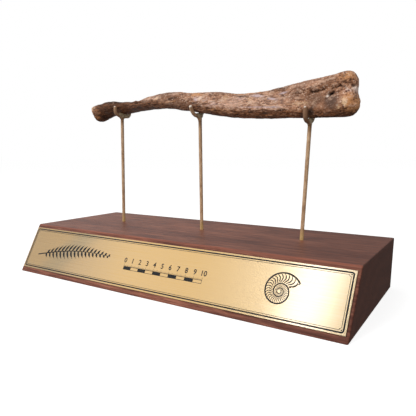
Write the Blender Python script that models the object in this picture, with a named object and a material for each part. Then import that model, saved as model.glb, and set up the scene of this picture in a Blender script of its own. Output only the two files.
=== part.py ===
"""A fossil fibula held by a brass armature over a wooden base with an engraved plate.

Metres, +Z up. +X runs along the base to the wide end of the bone, and the front faces -Y.
The origin is the middle of the base's underside.
"""
import math

import bmesh
import bpy
import numpy as np
from mathutils import Matrix, Vector, noise

MM = 0.001

# Wooden base: a block whose front leans back
BASE_LENGTH = 406 * MM
BASE_DEPTH = 167 * MM
BASE_TOP_DEPTH = 135.6 * MM
BASE_HEIGHT = 54.8 * MM
BASE_EDGE_RADIUS = 1.0 * MM

# Brass plate on the slanted front
PLAQUE_LENGTH = 400.5 * MM
PLAQUE_WIDTH = 52.5 * MM
PLAQUE_THICKNESS = 1.0 * MM
PLAQUE_RISE = 32.3 * MM
PLAQUE_EDGE_RADIUS = 0.3 * MM

# Brass armature rods, one joined piece each: shaft, front finger and back prong
GAP = 0.3 * MM
ROD_RADIUS = 2.0 * MM
ROD_SEAT_DEPTH = 15 * MM
ROD_SEAT_CLEARANCE = 1 * MM
ROD_SIDES = 10
WEB_HALF_BREADTH = 2.3 * MM
WEB_ROUNDNESS = 0.65
BEND_STEP = 2.4 * MM

# Each armature in millimetres: where the shaft leaves the base (x, y), its joint (x, y, z),
# then, at the joint's x, the finger and the prong from the joint to their tips as (y, z),
# the finger's radius, and the lumps of solder between them, each as (y, z) and its half sizes there.
ARMATURES = {
    "mount_rod_left": {
        "foot": (-125.0, 20.5),
        "joint": (-119.5, 20.6, 186.0),
        "finger": ((18.4, 188.4), (14.8, 190.2), (11.3, 191.5), (9.6, 193.2), (9.1, 195.8), (9.3, 199.4)),
        "prong": ((22.6, 188.4), (27.2, 189.4), (31.6, 190.0), (33.9, 192.4), (34.2, 195.6)),
        "finger_radius": 2.0,
        "webs": (
            (24.2, 189.8, 7.4, 2.2),
            (18.0, 190.8, 4.0, 2.2),
            (29.0, 190.8, 3.6, 1.6),
        ),
    },
    "mount_rod_middle": {
        "foot": (0.0, 21.5),
        "joint": (-0.3, 21.0, 177.5),
        "finger": ((19.2, 181.2), (15.6, 183.4), (11.6, 184.0), (7.8, 185.8), (5.0, 188.8), (3.2, 192.2)),
        "prong": ((21.2, 181.0), (22.2, 184.0), (25.0, 187.0), (27.8, 190.6), (29.0, 195.0)),
        "finger_radius": 2.0,
        "webs": ((17.8, 184.4, 5.6, 2.3), (22.0, 185.0, 3.0, 3.2)),
    },
    "mount_rod_right": {
        "foot": (123.8, 22.0),
        "joint": (128.3, 20.6, 168.0),
        "finger": ((18.8, 170.4), (14.8, 171.8), (10.8, 172.6), (8.2, 174.6), (7.2, 178.4), (7.3, 183.4)),
        "prong": ((21.8, 170.8), (24.4, 172.4), (27.8, 174.6), (29.6, 178.8), (29.8, 183.6)),
        "finger_radius": 2.3,
        "webs": ((19.4, 172.6, 5.6, 2.2), (23.0, 173.2, 2.6, 2.6)),
    },
}

# Sections along the bone in millimetres, narrow end to wide end:
# x, top z, bottom z, front y, back y, then the section's own form:
# thickness over width, lean of its upper edge towards the front in degrees, squareness.
BONE_SECTIONS = (
    (-166.5, 204.7, 186.0, 11.0, 32.0, 0.90, 15, 2.8),
    (-160.0, 205.5, 185.2, 9.5, 33.5, 0.90, 20, 2.4),
    (-146.0, 207.8, 188.5, 10.0, 33.0, 0.80, 30, 2.2),
    (-133.0, 208.4, 192.0, 11.0, 32.0, 0.70, 38, 2.1),
    (-118.0, 205.9, 192.2, 11.6, 31.0, 0.62, 45, 2.0),
    (-100.0, 205.3, 193.6, 11.0, 30.0, 0.60, 52, 2.0),
    (-86.0, 203.9, 193.8, 9.5, 29.0, 0.75, 35, 1.9),
    (-62.0, 209.6, 194.2, 7.5, 28.0, 0.90, 0, 1.8),
    (-35.0, 210.9, 193.4, 5.6, 27.0, 0.85, -25, 1.9),
    (0.0, 207.6, 187.0, 5.2, 26.0, 0.90, -15, 2.1),
    (28.0, 206.7, 181.9, 6.0, 26.0, 0.90, -10, 2.2),
    (58.0, 202.6, 178.1, 7.6, 26.0, 0.95, -5, 2.3),
    (86.0, 203.7, 176.6, 9.2, 26.5, 1.00, 0, 2.4),
    (111.0, 207.5, 175.8, 10.0, 27.0, 1.00, 0, 2.5),
    (135.0, 210.8, 174.9, 9.6, 27.2, 1.00, 0, 2.6),
    (157.0, 212.8, 174.5, 8.4, 29.0, 1.00, 0, 2.6),
    (174.5, 214.8, 175.7, 9.5, 28.5, 1.00, 0, 2.4),
)
BONE_RINGS = 104
BONE_CAP_RINGS = 6
BONE_SIDES = 28
NARROW_CAP = 5.0
WIDE_CAP = 10.5
CAP_POWER = 2.3
NARROW_SLANT = 0.34
WIDE_SLANT = 0.13
SLANT_REACH = 22.0

# Swells and hollows: centre (x, y, z), reach (x, y, z), height outwards, all in millimetres
BONE_SWELLS = (
    ((164, 17, 209), (10, 13, 8), 1.6),
    ((165, 9, 184), (9, 8, 9), 3.4),
    ((167, 27, 188), (10, 8, 12), 1.4),
    ((174, 18, 195.8), (6, 16, 5.5), -3.2),
    ((161, 8, 197), (9, 9, 4.5), -1.8),
    ((137, 8, 189), (17, 9, 7.0), -3.4),
    ((117, 9, 199.5), (9, 8, 5), -1.4),
    ((151, 8, 194.8), (3, 8, 2.8), -3.4),
    ((170, 12, 201), (3.5, 6, 3), -1.6),
    ((161, 10, 208.5), (3, 6, 2.5), -1.0),
    ((-84, 10, 205), (7, 6, 3), 1.0),
    ((-95, 13, 204), (3, 8, 4), -0.6),
    ((-40, 16, 211), (26, 10, 6), 0.6),
    ((-160, 12, 200), (9, 8, 8), 0.8),
    ((-162, 30, 192), (10, 8, 9), 1.2),
    ((-168, 20, 199), (5, 16, 6), -1.4),
    ((5, 14, 208), (9, 9, 4), 0.6),
    ((62, 8, 199), (10, 6, 4), -0.8),
    ((85, 9, 193.5), (3.5, 6, 3), -0.8),
    ((120, 27, 196), (40, 7, 9), -1.6),
    ((-20, 27, 204), (30, 6, 6), 0.8),
)

# Ridges and grooves: points (x, z) along the bone, breadth, height outwards, side (-1 front, 1 back)
BONE_RIDGES = (
    (((-93, 204.5), (-78, 203.2), (-62, 200.0), (-46, 197.3), (-33, 193.2), (-14, 189.6)), 3.4, 1.3, -1),
    (((10, 192.5), (28, 190.3), (58, 187.0), (76, 184.6), (102, 183.0), (124, 183.2)), 3.2, 1.1, -1),
    (((118, 196.2), (130, 197.4), (147, 198.4), (154, 198.8), (159, 200.4), (166, 199.6)), 3.2, -2.4, -1),
    (((92, 200.0), (110, 202.6), (130, 203.6), (150, 204.2)), 3.4, 1.1, -1),
    (((-120, 198.0), (-60, 203.0), (0, 199.0), (60, 191.0), (105, 190.0)), 3.6, -1.0, 1),
)

# Where hollows overlap they go no deeper than this, in millimetres
HOLLOW_LIMIT = 2.8

# Slow unevenness of the whole bone: size of a wave and its height
BONE_WAVES = ((16.0, 0.45), (7.0, 0.28))

WALNUT = (0.105, 0.035, 0.020, 1.0)
BRASS = (0.80, 0.57, 0.27, 1.0)
ROD_BRASS = (0.50, 0.34, 0.18, 1.0)
FOSSIL = (0.20, 0.10, 0.06, 1.0)


def clear_scene():
    for item in list(bpy.data.objects):
        bpy.data.objects.remove(item, do_unlink=True)


def make_material(name, colour, roughness, metallic):
    material = bpy.data.materials.new(name)
    material.use_nodes = True
    shader = material.node_tree.nodes["Principled BSDF"]
    shader.inputs["Base Color"].default_value = colour
    shader.inputs["Roughness"].default_value = roughness
    shader.inputs["Metallic"].default_value = metallic
    return material


def make_object(name, shape, material=None):
    """Turn a bmesh into an object in the scene, faces pointing out."""
    bmesh.ops.recalc_face_normals(shape, faces=shape.faces[:])
    mesh = bpy.data.meshes.new(name)
    shape.to_mesh(mesh)
    shape.free()
    item = bpy.data.objects.new(name, mesh)
    bpy.context.scene.collection.objects.link(item)
    if material:
        mesh.materials.append(material)
    return item


def as_guide(item):
    """Keep a shape that only serves a Boolean out of the model."""
    item.hide_render = True
    item.display_type = "WIRE"
    return item


def add_boolean(item, other, operation):
    modifier = item.modifiers.new(operation.title(), "BOOLEAN")
    modifier.operation = operation
    modifier.object = as_guide(other)
    modifier.solver = "EXACT"


def add_bevel(item, width, segments):
    modifier = item.modifiers.new("Edges", "BEVEL")
    modifier.width = width
    modifier.segments = segments
    modifier.limit_method = "ANGLE"
    modifier.angle_limit = math.radians(30)


def shade_smooth(item, sharp_angle=40):
    item.data.shade_smooth()
    item.data.set_sharp_from_angle(angle=math.radians(sharp_angle))


def smooth_values(knots, table, where):
    """Cubic through each row of the table at its knot, read at the places asked for."""
    slopes = np.gradient(table, knots, axis=0)
    index = np.clip(np.searchsorted(knots, where) - 1, 0, len(knots) - 2)
    span = (knots[index + 1] - knots[index])[:, None]
    t = ((where - knots[index]) / span[:, 0])[:, None]
    start = table[index] * (1 + 2 * t) * (1 - t) ** 2 + slopes[index] * span * t * (1 - t) ** 2
    end = table[index + 1] * (3 - 2 * t) * t ** 2 + slopes[index + 1] * span * (t - 1) * t ** 2
    return start + end


def skin_rings(rings, start, end):
    """Close a row of rings of points into one skin that runs to a point at each end."""
    shape = bmesh.new()
    loops = [[shape.verts.new(point) for point in ring] for ring in rings]
    for near, far in zip(loops, loops[1:]):
        for i in range(len(near)):
            j = (i + 1) % len(near)
            shape.faces.new((near[i], near[j], far[j], far[i]))
    for loop, tip in ((loops[0], start), (loops[-1], end)):
        point = shape.verts.new(tip)
        for i in range(len(loop)):
            shape.faces.new((loop[i], loop[(i + 1) % len(loop)], point))
    return shape


def section_outline(thickness, lean, squareness, angles):
    """A rounded section as (depth, height) pairs that fill -1 to 1 each way, from its front up."""
    across = np.sign(np.cos(angles)) * np.abs(np.cos(angles)) ** (2 / squareness) * thickness
    up = np.sign(np.sin(angles)) * np.abs(np.sin(angles)) ** (2 / squareness)
    turn = math.radians(lean)
    depth = -across * math.cos(turn) - up * math.sin(turn)
    height = up * math.cos(turn) - across * math.sin(turn)
    depth = 2 * (depth - depth.min()) / np.ptp(depth) - 1
    height = 2 * (height - height.min()) / np.ptp(height) - 1
    return depth, height


def bone_stations():
    """Places of the rings along the bone, closer together over the rounded ends."""
    start = BONE_SECTIONS[0][0]
    end = BONE_SECTIONS[-1][0]
    turn = (np.arange(BONE_CAP_RINGS) + 0.5) / BONE_CAP_RINGS * math.pi / 2
    narrow = start + NARROW_CAP * (1 - np.cos(turn))
    wide = end - WIDE_CAP * (1 - np.cos(turn[::-1]))
    shaft = np.linspace(start + NARROW_CAP, end - WIDE_CAP, BONE_RINGS)
    return np.concatenate((narrow, shaft, wide))


def cap_scale(distance, length):
    """How far a section has grown at a distance from the end that it rounds off."""
    share = np.clip(distance / length, 0, 1)
    return (1 - (1 - share) ** CAP_POWER) ** (1 / CAP_POWER)


def bone_rings():
    """The bone's plain form, an array of rings by sides by xyz in millimetres."""
    table = np.array(BONE_SECTIONS, dtype=float)
    knots = table[:, 0]
    stations = bone_stations()
    values = smooth_values(knots, table[:, 1:], stations)
    angles = np.arange(BONE_SIDES) * 2 * math.pi / BONE_SIDES
    grow = cap_scale(stations - knots[0], NARROW_CAP) * cap_scale(knots[-1] - stations, WIDE_CAP)
    rings = np.empty((len(stations), BONE_SIDES, 3))
    for i, (top, bottom, front, back, thickness, lean, squareness) in enumerate(values):
        depth, height = section_outline(thickness, lean, squareness, angles)
        rings[i, :, 0] = stations[i]
        rings[i, :, 1] = (front + back) / 2 + depth * (back - front) / 2 * grow[i]
        rings[i, :, 2] = (top + bottom) / 2 + height * (top - bottom) / 2 * grow[i]
    middle = (table[0, 1] + table[0, 2]) / 2
    near_end = np.clip(1 - (rings[..., 0] - knots[0]) / SLANT_REACH, 0, 1)
    rings[..., 0] += NARROW_SLANT * (middle - rings[..., 2]) * near_end
    middle = (table[-1, 1] + table[-1, 2]) / 2
    near_end = np.clip(1 - (knots[-1] - rings[..., 0]) / SLANT_REACH, 0, 1)
    rings[..., 0] += WIDE_SLANT * (middle - rings[..., 2]) * near_end
    return rings


def ring_normals(rings):
    """Outward directions on a skin of rings."""
    along = np.gradient(rings, axis=0)
    around = np.roll(rings, -1, axis=1) - np.roll(rings, 1, axis=1)
    normals = np.cross(around, along)
    normals /= np.linalg.norm(normals, axis=2, keepdims=True)
    outward = rings - rings.mean(axis=1, keepdims=True)
    return normals * np.sign(np.sum(normals * outward))


def distance_to_line(x, z, points):
    """Distance in the side view from each place to a broken line."""
    nearest = np.full(x.shape, np.inf)
    for (x0, z0), (x1, z1) in zip(points, points[1:]):
        run = (x1 - x0, z1 - z0)
        share = ((x - x0) * run[0] + (z - z0) * run[1]) / (run[0] ** 2 + run[1] ** 2)
        share = np.clip(share, 0, 1)
        nearest = np.minimum(nearest, np.hypot(x - x0 - share * run[0], z - z0 - share * run[1]))
    return nearest


def bone_relief(rings, normals):
    """Height of the bone's knobs, hollows, ridges, grooves and waves above its plain form."""
    relief = np.zeros(rings.shape[:2])
    for centre, reach, height in BONE_SWELLS:
        away = (rings - np.array(centre)) / np.array(reach)
        relief += height * np.exp(-np.sum(away ** 2, axis=2))
    for points, breadth, height, side in BONE_RIDGES:
        away = distance_to_line(rings[..., 0], rings[..., 2], points) / breadth
        facing = np.clip(normals[..., 1] * side * 2 + 0.3, 0, 1)
        relief += height * np.exp(-away ** 2) * facing
    relief = np.where(relief < 0, HOLLOW_LIMIT * np.tanh(relief / HOLLOW_LIMIT), relief)
    for size, height in BONE_WAVES:
        for place in np.ndindex(relief.shape):
            relief[place] += height * noise.noise(Vector(rings[place]) / size)
    return relief


def build_fibula(material):
    rings = bone_rings()
    normals = ring_normals(rings)
    rings = (rings + normals * bone_relief(rings, normals)[..., None]) * MM
    tips = []
    for ring, other in ((rings[0], rings[1]), (rings[-1], rings[-2])):
        middle = ring.mean(axis=0)
        tips.append(middle + (middle - other.mean(axis=0)) * 0.3)
    shape = skin_rings([[tuple(point) for point in ring] for ring in rings], tips[0], tips[1])
    shade_smooth(make_object("fibula", shape, material), 80)


def bend_path(points, step):
    """A smooth line through the points, with a place every step along it."""
    points = np.array(points, dtype=float)
    knots = np.concatenate(((0,), np.cumsum(np.linalg.norm(np.diff(points, axis=0), axis=1))))
    count = max(2, round(knots[-1] / step) + 1)
    return smooth_values(knots, points, np.linspace(0, knots[-1], count))


def sweep_rod(path, radii, round_tip):
    """A round rod along a line of points, with a flat or a domed end."""
    path = [Vector(point) for point in path]
    heading = (path[-1] - path[-2]).normalized()
    spots = list(zip(path, radii))
    if round_tip:
        for turn in (30, 60):
            ahead = radii[-1] * math.sin(math.radians(turn))
            spots.append((path[-1] + heading * ahead, radii[-1] * math.cos(math.radians(turn))))
    rings = []
    side = Vector((1, 0, 0))
    for i, (point, size) in enumerate(spots):
        forward = (spots[min(i + 1, len(spots) - 1)][0] - spots[max(i - 1, 0)][0]).normalized()
        side = (side - forward * side.dot(forward)).normalized()
        other = forward.cross(side)
        angles = [2 * math.pi * k / ROD_SIDES for k in range(ROD_SIDES)]
        rings.append([point + (side * math.cos(a) + other * math.sin(a)) * size for a in angles])
    tip = path[-1] + heading * (radii[-1] if round_tip else 0)
    return skin_rings(rings, path[0], tip)


def shaft_line(armature):
    """Bottom end of the shaft in its hole and the joint at its top."""
    joint = Vector(armature["joint"]) * MM
    foot = Vector((*armature["foot"], BASE_HEIGHT / MM)) * MM
    slope = (joint - foot) / (joint.z - foot.z)
    return foot - slope * (ROD_SEAT_DEPTH - ROD_SEAT_CLEARANCE), joint


def build_web(name, across, lump):
    """One rounded lump of solder."""
    y, z, reach_y, reach_z = (value * MM for value in lump)
    web = bmesh.new()
    bmesh.ops.create_icosphere(web, subdivisions=2, radius=1)
    for vertex in web.verts:
        vertex.co = [math.copysign(abs(value) ** WEB_ROUNDNESS, value) for value in vertex.co]
    stretch = Matrix.Diagonal((WEB_HALF_BREADTH, reach_y, reach_z, 1))
    bmesh.ops.transform(web, matrix=Matrix.Translation((across, y, z)) @ stretch, verts=web.verts)
    return make_object(name, web)


def build_armature(name, armature, material):
    bottom, joint = shaft_line(armature)
    across = armature["joint"][0]
    limbs = []
    for limb in ("finger", "prong"):
        points = [armature["joint"]] + [(across, y, z) for y, z in armature[limb]]
        limbs.append(bend_path(np.array(points) * MM, BEND_STEP))
    finger, prong = limbs
    swelling = np.linspace(ROD_RADIUS, armature["finger_radius"] * MM, len(finger))
    rod = make_object(name, sweep_rod([bottom, *finger], [ROD_RADIUS, *swelling], True), material)
    prong = make_object(name + "_prong", sweep_rod(prong, [ROD_RADIUS] * len(prong), True))
    add_boolean(rod, prong, "UNION")
    for i, lump in enumerate(armature["webs"]):
        add_boolean(rod, build_web(f"{name}_web_{i}", joint.x, lump), "UNION")
    shade_smooth(rod, 50)


def build_base(material):
    back = BASE_DEPTH / 2
    outline = (
        (-back, 0),
        (back, 0),
        (back, BASE_HEIGHT),
        (back - BASE_TOP_DEPTH, BASE_HEIGHT),
    )
    shape = bmesh.new()
    ends = []
    for x in (-BASE_LENGTH / 2, BASE_LENGTH / 2):
        ends.append([shape.verts.new((x, y, z)) for y, z in outline])
    for end in ends:
        shape.faces.new(end)
    for i in range(len(outline)):
        j = (i + 1) % len(outline)
        shape.faces.new((ends[0][i], ends[0][j], ends[1][j], ends[1][i]))
    base = make_object("base", shape, material)
    add_bevel(base, BASE_EDGE_RADIUS, 2)
    for name, armature in ARMATURES.items():
        bottom, joint = shaft_line(armature)
        along = (joint - bottom).normalized()
        path = (bottom - along * ROD_SEAT_CLEARANCE, bottom + along * 2 * ROD_SEAT_DEPTH)
        hole = make_object(name + "_hole", sweep_rod(path, [ROD_RADIUS + GAP] * 2, False))
        add_boolean(base, hole, "DIFFERENCE")
    shade_smooth(base)


def build_plaque(material):
    lean = math.atan2(BASE_DEPTH - BASE_TOP_DEPTH, BASE_HEIGHT)
    up = Vector((0, math.sin(lean), math.cos(lean)))
    out = Vector((0, -math.cos(lean), math.sin(lean)))
    foot = Vector((0, -BASE_DEPTH / 2, 0))
    middle = foot + up * PLAQUE_RISE + out * (GAP + PLAQUE_THICKNESS / 2)
    shape = bmesh.new()
    bmesh.ops.create_cube(shape, size=1)
    size = Matrix.Diagonal((PLAQUE_LENGTH, PLAQUE_WIDTH, PLAQUE_THICKNESS, 1))
    bmesh.ops.transform(shape, matrix=size, verts=shape.verts)
    plaque = make_object("plaque", shape, material)
    plaque.location = middle
    plaque.rotation_euler = (math.pi / 2 - lean, 0, 0)
    add_bevel(plaque, PLAQUE_EDGE_RADIUS, 1)


def main():
    clear_scene()
    walnut = make_material("walnut", WALNUT, 0.38, 0.0)
    rod_brass = make_material("rod_brass", ROD_BRASS, 0.42, 1.0)
    plate_brass = make_material("plate_brass", BRASS, 0.3, 1.0)
    fossil = make_material("fossil", FOSSIL, 0.6, 0.0)
    build_base(walnut)
    build_plaque(plate_brass)
    for name, armature in ARMATURES.items():
        build_armature(name, armature, rod_brass)
    build_fibula(fossil)


main()
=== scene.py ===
"""Looks of a fossil fibula on its stand: the bone, its brass armature, the engraved plate and the wooden base.

Metres, +Z up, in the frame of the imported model: +X runs along the base to the wide end of the
bone, and the front faces -Y. Places on the bone and on the plate are given in millimetres.
"""
import math

import bmesh
import bpy
import numpy as np
from mathutils import Matrix, Vector, noise


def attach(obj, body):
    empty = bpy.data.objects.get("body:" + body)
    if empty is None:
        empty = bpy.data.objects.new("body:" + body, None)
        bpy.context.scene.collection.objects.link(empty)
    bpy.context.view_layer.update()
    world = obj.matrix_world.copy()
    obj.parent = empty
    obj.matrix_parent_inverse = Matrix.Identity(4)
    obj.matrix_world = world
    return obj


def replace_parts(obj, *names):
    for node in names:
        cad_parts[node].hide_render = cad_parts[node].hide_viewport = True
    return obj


MM = 0.001

# Camera, in pixels of a 416 x 416 picture
PICTURE = 416
FOCAL_PIXELS = 419.4
CENTRE_PIXEL = (216.5, 241.4)
CAMERA_PLACE = (0.2757, -0.3831, 0.1397)
CAMERA_YAW = 32.24
CAMERA_PITCH = 11.5
CAMERA_ROLL = -0.22

# Studio: size of the stage in metres, brightness of the sky, and soft lamps as
# place, aim, size, power, and whether they show in what gleams
STAGE_RADIUS = 20
SKY_FLOOR = 0.10
SKY_HIGH = 0.38
SKY_LEFT = 0.42
LAMPS = (
    ("key", (-0.50, -1.15, 1.16), (0.05, 0.0, 0.12), (0.9, 0.8), 14, False),
    ("softbox", (-0.305, -1.16, 0.97), (0.1, 0.0, 0.03), (0.19, 0.60), 1.6, True),
    ("front_fill", (-0.92, -1.02, 0.86), (0.0, 0.0, 0.1), (0.8, 0.9), 1.1, True),
    ("right_fill", (0.95, -0.95, 0.40), (0.15, 0.0, 0.18), (0.5, 0.5), 5.2, False),
)

# Fine mesh of the bone
BONE_FACE = 0.58
BONE_SOFTENING = 22

# Edges that stand over what lies below them in the side view: points (x, z) along the bone,
# height and reach above the line, then depth and breadth of the groove under it
BONE_BREAKS = (
    (((-93, 203.4), (-89.5, 205.0), (-86.5, 203.6), (-82, 203.0), (-76, 203.4)), 0.5, 1.4, 1.5, 0.9),
    (((-80, 203.2), (-64, 200.3), (-54, 198.7), (-44, 197.1), (-37, 195.2), (-33, 192.4)), 0.35, 2.4, 0.4, 1.6),
    (((-60, 203.4), (-52, 203.0), (-45, 204.2)), 0.25, 1.6, 0.35, 0.7),
    (((-34, 203.2), (-28, 203.8), (-22, 203.0)), 0.10, 1.4, 0.55, 1.0),
    (((14, 192.0), (28, 190.0), (44, 188.6), (58, 186.8), (76, 184.5), (102, 183.0), (120, 183.2)), 0.25, 2.2, 0.45, 1.4),
    (((72, 203.0), (86, 203.6), (98, 204.6), (108, 205.4)), 0.10, 1.5, 0.4, 0.8),
    (((96, 201.2), (103, 202.2), (108, 201.4)), 0.20, 1.5, 0.7, 0.8),
    (((109, 199.4), (113, 201.4), (117.7, 202.8), (121, 202.8), (123.5, 200.8)), 0.40, 2.6, 0.70, 1.2),
    (((124, 199.2), (125.4, 196.6), (128, 196.0), (131, 197.2), (137.7, 198.8), (145, 199.2)), 0.60, 3.2, 1.25, 0.95),
    (((114, 197.2), (118, 198.8), (122, 197.6)), 0.30, 1.4, 0.55, 0.8),
    (((113, 192.6), (118, 191.6), (125, 191.8)), 0.25, 1.2, 0.6, 0.7),
    (((151.5, 199.2), (154.2, 200.4), (159.6, 201.3), (164.6, 198.9)), 0.45, 2.0, 1.3, 0.9),
)

# Pits and pimples: place (x, z), reach along and across, tilt in degrees, height outwards
BONE_PITS = (
    ((150.6, 194.7), (2.5, 1.15), 38, -3.6),
    ((154.6, 197.4), (2.6, 0.9), 38, -0.7),
    ((148.0, 193.5), (1.5, 1.0), 30, 0.7),
    ((161.6, 208.8), (2.6, 1.1), 10, -0.9),
    ((163.2, 203.3), (1.8, 1.2), 0, -1.0),
    ((168.0, 204.6), (1.2, 1.8), 0, -1.0),
    ((170.2, 200.8), (1.8, 1.5), -20, -1.5),
    ((116.6, 195.6), (1.8, 1.0), 20, -0.8),
    ((120.2, 199.6), (2.4, 0.8), -35, 0.7),
    ((116.0, 197.9), (2.6, 0.7), 25, 0.5),
    ((122.6, 196.4), (2.2, 0.7), -20, 0.6),
    ((85.2, 193.6), (1.5, 1.1), 0, -0.8),
    ((57.4, 198.8), (1.4, 0.8), 0, -0.7),
    ((110.6, 185.4), (1.4, 0.9), 0, -0.8),
    ((-29.3, 203.4), (2.4, 1.4), -15, -0.8),
    ((-19.5, 204.6), (1.6, 1.0), 0, -0.6),
    ((9.0, 206.6), (2.2, 0.9), -10, -0.8),
    ((-88.6, 204.0), (2.2, 1.3), 0, 0.8),
    ((-85.0, 202.6), (1.8, 1.0), -15, -1.2),
    ((-50.4, 204.2), (3.0, 1.6), 10, 0.7),
    ((-132.6, 206.4), (2.2, 1.6), -30, 0.5),
    ((-112.0, 197.0), (6.0, 0.7), -6, -0.4),
    ((33.0, 197.0), (3.0, 0.7), -8, -0.4),
    ((170.0, 186.0), (1.4, 1.0), 40, -0.6),
    ((166.0, 181.0), (1.6, 0.9), 10, -0.5),
)

# Smoother areas, then stains by tint, among them painted shade, sheen and highlights: place (x, z), reach along and
# across, tilt in degrees, strength
# Low swells and dents all round the bone, in millimetres: place (x, z), reach and height
BONE_SWELLS = (
    ((-165.5, 193.0), (3.0, 7.0), -0.9),
    ((-160.0, 185.5), (3.4, 4.0), 0.8),
    ((-152.0, 206.0), (4.5, 4.0), -0.9),
    ((-134.0, 208.0), (4.0, 4.0), -0.6),
    ((-89.5, 206.0), (2.4, 3.0), 0.8),
    ((-80.5, 206.0), (4.0, 4.0), -0.8),
    ((-71.0, 207.0), (6.0, 5.0), 0.8),
)

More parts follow.
